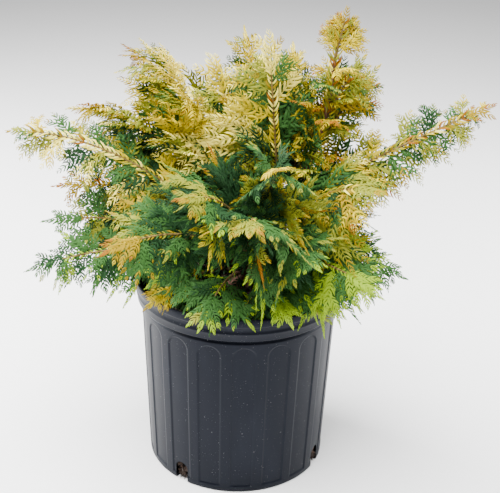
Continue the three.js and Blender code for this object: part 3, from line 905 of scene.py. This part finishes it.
# ---------- Fronds ----------
def leaflet(hook, lift, width, widths):
    """A curved leaflet of unit length along X that hooks forwards to Y, ridged along its middle.

    The widths are at even steps from its foot, in shares of the full width, and it ends in a point.
    """
    points, faces = [], []
    for i, half in enumerate(widths):
        share = i / len(widths)
        x, y = share * (1 - 0.1 * share**2), hook * share**1.7
        z = lift * math.sin(math.pi * share) - 0.16 * share**2
        for side in (-1, 0, 1):
            edge = side * half * width
            ridge = 0.4 * half * width if side == 0 else 0
            points.append((x - 0.3 * edge, y + edge, z + ridge))
    points.append((0.93, hook * 1.05, -0.2))
    for i in range(0, 3 * len(widths) - 3, 3):
        for a in (i, i + 1):
            faces += [(a, a + 3, a + 4), (a, a + 4, a + 1)]
    last = 3 * len(widths) - 3
    faces += [(last, last + 3, last + 1), (last + 1, last + 3, last + 2)]
    return np.array(points), np.array(faces)


SHAPES = {
    "sickle": leaflet(0.44, 0.18, 0.082, (0.8, 1.15, 0.95, 0.9)),
    "lobed": leaflet(0.34, 0.08, 0.092, (0.85, 1.15, 0.95)),
    "plain": leaflet(0.26, 0.08, 0.12, (0.7, 1.1, 0.9)),
}


class Foliage:
    """Collects leaflets and rachises by colour."""

    def __init__(self):
        self.leaves = {}
        self.twigs = {}

    def leaf(self, colour, shape, base, out, forward, up, size, mirrored):
        self.leaves.setdefault((colour, shape, mirrored), []).append((*base, *out, *forward, *up, size))

    def twig(self, colour, points, radii):
        self.twigs.setdefault(colour, []).append((points, radii))


def bent_line(root, along, face, length, droop, steps):
    """Points and frames of a frond's axis, which droops towards its end."""
    fall = face * -0.4 + UP * -0.6
    line = []
    for step in range(steps + 1):
        share = step / steps
        point = root + along * (length * share) + fall * (droop * length * share * share)
        heading = (along + fall * (2 * droop * share)).normalized()
        across = heading.cross(face).normalized()
        line.append((point, heading, across, across.cross(heading)))
    return line


def lerp_frame(line, share):
    """The point and frame at a share of a line's length."""
    place = min(max(share, 0), 1) * (len(line) - 1)
    index = min(int(place), len(line) - 2)
    rest = place - index
    return [a.lerp(b, rest) for a, b in zip(line[index], line[index + 1])]


def set_leaf(foliage, colour, shape, base, out, heading, normal, size):
    """One leaflet that points out, hooks towards the heading and has its upper side to the normal."""
    out = out.normalized()
    forward = (heading - out * heading.dot(out)).normalized()
    up = out.cross(forward)
    mirrored = up.dot(normal) < 0
    foliage.leaf(colour, shape, base, out, forward, -up if mirrored else up, size, mirrored)


def free_share(line):
    """How far along its axis a frond gets before it meets the pot or the potting mix."""
    spots = [tuple(lerp_frame(line, step / AXIS_LOOKS)[0]) for step in range(AXIS_LOOKS + 1)]
    blocked = in_pot(np.array(spots))
    return np.argmax(blocked) / AXIS_LOOKS if blocked.any() else 1


def grow_frond(foliage, random, line, length, leaf_length, colour, tip_colour, shape, bare=0.06):
    """A frond: a thin rachis with leaflets in pairs, longest in the lower middle and short at the tip."""
    pairs = max(5, round(length * (1 - bare) / LEAFLET_PITCH[shape]))
    free = free_share(line)
    for i in range(pairs):
        share = 1 - (1 - bare) * (1 - (i + 0.4) / pairs) ** 1.25
        if share > free:
            break
        point, heading, across, normal = lerp_frame(line, share)
        size = leaf_length * min(1, 0.55 + 1.6 * share) * (1 - share**2.3) + LEAST_LEAFLET
        tone = tip_colour if share > 0.55 + 0.3 * random.random() else colour
        for side in (-1, 1):
            lean = LEAFLET_LEAN + TIP_LEAN[shape] * share**2 + random.uniform(-0.08, 0.08)
            tilt = random.uniform(-0.4, 0.2)
            out = across * (side * math.cos(lean)) + heading * math.sin(lean) + normal * tilt
            base = point + heading * random.uniform(-0.8, 0.8)
            set_leaf(foliage, tone, shape, base, out, heading, normal, size * random.uniform(0.85, 1.12))
    radii = [RACHIS_RADIUS * (1 - 0.75 * i / (len(line) - 1)) for i in range(len(line))]
    foliage.twig(colour, [item[0] for item in line], radii)


def colours_of(random, palette):
    """The colours of a frond's foot and tip."""
    rows = PALETTES[palette]
    left = random.random() * sum(row[0] for row in rows)
    for often, foot, tip in rows:
        left -= often
        if left < 0:
            break
    return foot, tip


def dress_spray(foliage, random, plan, palette, shape):
    """A compound spray: a main frond and pairs of side fronds in one of the solids' blades."""
    root, along, face, length, droop = plan
    line = bent_line(root, along, face, length, droop, 8)
    width = length * SPRAY_WIDTH * 0.5
    foot, tip = colours_of(random, palette)
    main_leaf, side_leaf = LEAFLET_LENGTH[shape]
    leaf_length = min(main_leaf, LEAFLET_SHARE[shape] * length)
    grow_frond(foliage, random, line, length, leaf_length, foot, tip, shape, 0.08)
    pairs = max(2, round(length / SIDE_PITCH[shape]))
    free = free_share(line)
    for i in range(pairs):
        share = 0.06 + SIDE_END[shape] * i / pairs
        if share > free:
            break
        for side in (-1, 1):
            own_share = share + random.uniform(0, 0.08)
            point, heading, across, normal = lerp_frame(line, own_share)
            turn = random.uniform(*SIDE_TURN[shape])
            tilt = random.uniform(-0.45, 0.22)
            out = across * (side * math.sin(turn)) + heading * math.cos(turn) + normal * tilt
            out.normalize()
            reach = width * (1 - (own_share + 0.2) ** 2.4) * min(1, 0.5 + 1.6 * own_share)
            own = min(0.72 * length, reach / math.sin(turn) * random.uniform(0.9, 1.2))
            if own < LEAST_FROND:
                continue
            up = (normal - out * normal.dot(out)).normalized()
            branch = bent_line(point, out, up, own, random.uniform(0.1, 0.3), 5)
            own_foot, own_tip = colours_of(random, palette) if random.random() < 0.3 else (foot, tip)
            leaf_length = min(side_leaf, 0.3 * own + 1)
            grow_frond(foliage, random, branch, own, leaf_length, own_foot, own_tip, shape, 0.04)


def dress_line(foliage, random, points, face_at, leaf_length, palette, shape):
    """Leaflets straight on a stem."""
    line = []
    for (heading, _, _), point in zip(carried_frames(points), points):
        across = heading.cross(face_at(point, heading)).normalized()
        line.append((point, heading, across, across.cross(heading)))
    length = sum((b - a).length for a, b in zip(points, points[1:]))
    pairs = round(length / STEM_PITCH)
    for i in range(pairs):
        point, heading, across, normal = lerp_frame(line, (i + 0.5) / pairs)
        tone = colours_of(random, palette)[i > pairs / 2]
        for side in (-1, 1):
            swing = random.uniform(-0.7, 0.7)
            out = across * side + heading * random.uniform(0.5, 0.9) + normal * swing
            size = leaf_length * random.uniform(0.7, 1.15)
            set_leaf(foliage, tone, shape, point, out, heading, normal, size)


def in_pot(points):
    """True for points in the pot's wall or in the potting mix."""
    radius = np.hypot(points[..., 0], points[..., 1])
    height = points[..., 2]
    within = radius <= RIM_RADIUS - 11
    in_rim = ~within & (radius < RIM_RADIUS + 1) & (height < POT_HEIGHT + 0.5)
    return in_rim | (within & (height < GROUND + 1))


def cut_up(points, faces, per_points, per_faces):
    """Many leaflets as bodies under the most faces of a piece, cut between leaflets."""
    most = MOST_FACES // per_faces
    count = len(points) // per_points
    for start in range(0, count, most):
        end = min(count, start + most)
        own = faces[start * per_faces : end * per_faces] - start * per_points
        yield points[start * per_points : end * per_points], own


def batches(bodies):
    """The bodies in their order, in groups under the most faces of a piece."""
    batch, batch_faces = [], 0
    for body in bodies:
        if batch and batch_faces + len(body[1]) > MOST_FACES:
            yield batch
            batch, batch_faces = [], 0
        batch.append(body)
        batch_faces += len(body[1])
    if batch:
        yield batch


def build_foliage(foliage, box_low, box_high):
    """The leaflets and rachises of each colour, as bodies of points and triangles.

    What would touch the pot or the mix, or leave the solids' box, is left out.
    """
    parts = {}
    for (colour, shape, mirrored), rows in foliage.leaves.items():
        template, faces = SHAPES[shape]
        rows = np.array(rows)
        base, size = rows[:, None, 0:3], rows[:, None, 12:13]
        axes = rows[:, 3:12].reshape(-1, 3, 3)
        points = base + size * np.einsum("kj,nji->nki", template, axes)
        keep = ~in_pot(points).any(1) & (points > box_low).all((1, 2)) & (points < box_high).all((1, 2))
        points = points[keep]
        wound = faces[:, ::-1] if mirrored else faces
        corners = wound[None] + len(template) * np.arange(len(points))[:, None, None]
        bodies = cut_up(points.reshape(-1, 3), corners.reshape(-1, 3), len(template), len(faces))
        parts.setdefault(colour, []).extend(bodies)
    for colour, twigs in foliage.twigs.items():
        for points, radii in twigs:
            spots = np.array([tuple(point) for point in points])
            clear = ~in_pot(spots) & (spots > box_low + 1).all(1) & (spots < box_high - 1).all(1)
            count = len(spots) if clear.all() else int(np.argmin(clear))
            if count > 1:
                parts.setdefault(colour, []).append(tube(points[:count], radii[:count]))
    return parts


def add_foliage(parts, masses):
    """Adds the joined pieces, the first of which replaces the solids' masses."""
    for colour in sorted(parts):
        look = frond_finish(colour)
        for number, batch in enumerate(batches(parts[colour]), 1):
            name = f"fronds_{colour}_{number}"
            add_piece(name, mesh_from_arrays(name, *joined(batch)), look, masses)
            masses = ()


def dress_trunk(foliage, random):
    """Short sprays round the trunk up to its tip, in painted shade below and golden above."""
    for k in range(TRUNK_SPRAYS):
        share = 0.1 + 0.88 * k / TRUNK_SPRAYS
        angle = k * GOLDEN_ANGLE
        away = Vector((math.cos(angle), math.sin(angle), 0))
        along = (away + UP * random.uniform(0.2, 0.8)).normalized()
        face = (UP - along * along.z).normalized()
        length = random.uniform(55, 85) * (1 - 0.4 * share)
        palette = "shade" if share < 0.5 else "gold"
        plan = (trunk_point(share), along, face, length, random.uniform(0.1, 0.3))
        dress_spray(foliage, random, plan, palette, "plain")
    upper = [trunk_point(0.45 + 0.55 * step / 20) for step in range(21)]
    for swing in (0, 1.2):
        dress_line(foliage, random, upper, lambda point, along: Vector((swing, -1, 0)), 14, "gold", "sickle")


def stem_of(limb, steps=14):
    """A limb's leafy stem, from the bough's end to where the tip's spray leaves it."""
    shares = [limb.leafy + (limb.stem_end - limb.leafy) * step / steps for step in range(steps + 1)]
    thick = STEM_RADIUS * 1.1
    radii = [thick + (TWIG_RADIUS - thick) * step / steps for step in range(steps + 1)]
    return tube([limb.point(share) for share in shares], radii, 7)


def dress_limb(foliage, random, limb):
    """All that grows on a limb: the planned sprays, the filling and inner ones, and its own leaflets."""
    palette, tip_palette = LIMB_PALETTES[limb.name]
    shape = "sickle" if palette in SICKLE_PALETTES else "lobed"
    tip_shape = "sickle" if tip_palette == "cream" else "lobed"
    for plan in limb.plans[:-1]:
        dress_spray(foliage, random, plan, palette, shape)
    dress_spray(foliage, random, limb.plans[-1], tip_palette, tip_shape)
    # Filling sprays take the darker palette behind: painted shade over the inner growth's own green
    for plan in limb.fill_sprays(random):
        dress_spray(foliage, random, plan, BEHIND[palette], shape)
    for plan in limb.inner_sprays(random):
        dress_spray(foliage, random, plan, "shade", "plain")
    first = limb.leafy * 0.7
    leafy = [limb.point(first + (limb.stem_end - first) * step / 20) for step in range(21)]

    def face_at(point, along):
        return limb.face(point, along, 0)

    dress_line(foliage, random, leafy, face_at, STEM_LEAFLET[shape], palette, shape)


def make_foliage(limbs):
    """The leafy stems, and the fronds on all the limbs and the trunk."""
    foliage = Foliage()
    for index, limb in enumerate(limbs):
        dress_limb(foliage, randomness.Random(LIMB_SEED + index), limb)
    dress_trunk(foliage, randomness.Random(TRUNK_SEED))
    look = bark("young_bark", (0.07, 0.045, 0.012), (0.15, 0.10, 0.025), (0.27, 0.19, 0.06))
    stems = joined([stem_of(limb) for limb in limbs])
    add_piece("stems", mesh_from_arrays("stems", *stems), look)
    low, high = (np.array(corner) / MM for corner in CAD_BOX)
    parts = build_foliage(foliage, low, high)
    add_foliage(parts, [node for node in NODES if node.startswith("foliage_")])


# ---------- Studio ----------
def add_light(name, place, aim, size, power):
    """A square soft light that the camera doesn't see."""
    light = bpy.data.lights.new(name, "AREA")
    light.size = size
    light.energy = power
    lamp = bpy.data.objects.new(name, light)
    lamp.location = place
    lamp.visible_camera = False
    lamp.rotation_euler = (Vector(aim) - Vector(place)).to_track_quat("-Z", "Y").to_euler()
    bpy.context.scene.collection.objects.link(lamp)


def make_studio():
    """A pale floor and soft light from above and from both sides at the back."""
    bm = bmesh.new()
    bmesh.ops.create_grid(bm, x_segments=1, y_segments=1, size=6)
    floor_mesh = bpy.data.meshes.new("floor")
    bm.to_mesh(floor_mesh)
    bm.free()
    floor = bpy.data.objects.new("floor", floor_mesh)
    floor.location.z = -0.0005
    floor_mesh.materials.append(finish_of("floor_white", (0.9, 0.9, 0.9), 0.7, 0.2)[0])
    bpy.context.scene.collection.objects.link(floor)
    floor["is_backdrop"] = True
    world = bpy.data.worlds.new("studio")
    world.use_nodes = True
    sky = world.node_tree.nodes["Background"]
    sky.inputs["Color"].default_value = (1, 1, 1, 1)
    sky.inputs["Strength"].default_value = 0.42
    bpy.context.scene.world = world
    add_light("top", (-0.35, -0.35, 2.3), (0, 0, 0.3), 2.0, 235)
    add_light("left", (-1.6, 0.5, 0.72), (0, 0, 0.1), 1.1, 124)
    add_light("right", (1.6, 0.45, 0.72), (0, 0, 0.1), 1.0, 56)


def make_camera():
    """A camera that looks down on the plant from the front, with a slight roll."""
    camera = bpy.data.cameras.new("camera")
    camera.lens = 71.1
    camera.sensor_width = 36
    camera.sensor_fit = "HORIZONTAL"
    eye = bpy.data.objects.new("camera", camera)
    bpy.context.scene.collection.objects.link(eye)
    ahead = Vector((0.00956, 0.91526, -0.40274)).normalized()
    level = ahead.cross(UP).normalized()
    above = level.cross(ahead)
    roll = math.radians(1.68)
    right = level * math.cos(roll) + above * math.sin(roll)
    top = above * math.cos(roll) - level * math.sin(roll)
    turn = Matrix((right, top, -ahead)).transposed()
    eye.matrix_world = Matrix.Translation((0, -1.0837, 0.7526)) @ turn.to_4x4()
    bpy.context.scene.camera = eye


# ---------- The object ----------
make_pot()
make_potting_mix()
make_chips()
make_roots()
limbs = [Limb(index, *row) for index, row in enumerate(LIMBS)]
make_wood(limbs)
make_foliage(limbs)
make_studio()
make_camera()

boxes = {"cad": CAD_BOX, "visual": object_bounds()}
{name: [list(corner) for corner in box] for name, box in boxes.items()}
